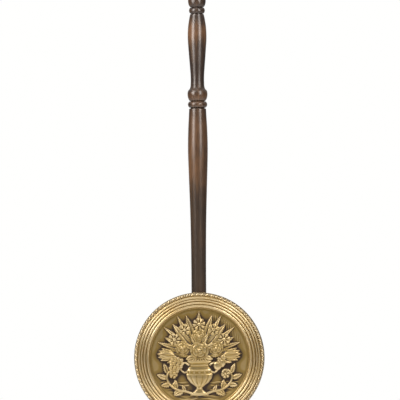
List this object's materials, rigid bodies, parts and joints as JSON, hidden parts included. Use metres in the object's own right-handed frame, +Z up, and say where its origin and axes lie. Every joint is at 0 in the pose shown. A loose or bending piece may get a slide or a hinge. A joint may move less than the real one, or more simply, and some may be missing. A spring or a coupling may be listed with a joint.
{
  "type": "bed warming pan",
  "caption": "Bed warming pan: a shallow round brass pan with a hinged lid in relief, on a long handle of turned wood with a hanging eye.",
  "frame": {"origin": "centre of the hanging eye's hole, on the handle's axis", "axes": "+Z up along the handle, +Y from the lid back through the pan to its flat base, +X to the right of a viewer who faces the lid"},
  "size_m": [0.254, 0.0749, 0.9396],
  "materials": {
    "lid_brass": "polished, with dark patina in the hollows",
    "pan_brass": "satin, aged",
    "fittings_brass": "satin, aged",
    "walnut": "dark walnut stain under satin varnish",
    "steel": "dull grey"
  },
  "bodies": {
    "pan_and_handle": {"pan_bowl": "pan_brass", "rim_wire": "steel", "pan_hinge_leaf": "pan_brass", "hinge_pin": "steel", "handle_socket": "fittings_brass", "socket_rivet_1": "fittings_brass", "socket_rivet_2": "fittings_brass", "socket_rivet_3": "fittings_brass", "socket_rivet_4": "fittings_brass", "handle_bolt": "steel", "bolt_washer": "fittings_brass", "lower_shaft": "walnut", "middle_grip": "walnut", "top_finial": "walnut", "lower_stud": "steel", "upper_stud": "steel", "eye_collar": "fittings_brass", "hanging_eye": "fittings_brass"},
    "lid": {"lid_shell": "lid_brass", "lid_hinge_leaf": "fittings_brass", "lid_rivet_1": "fittings_brass", "lid_rivet_2": "fittings_brass"}
  },
  "joints": [
    {"name": "lid_hinge", "type": "hinge", "parent": "pan_and_handle", "child": "lid", "pos_m": [0, -0.0238, -0.6776], "axis": [-1, 0, 0], "range_deg": [0, 110]}
  ]
}
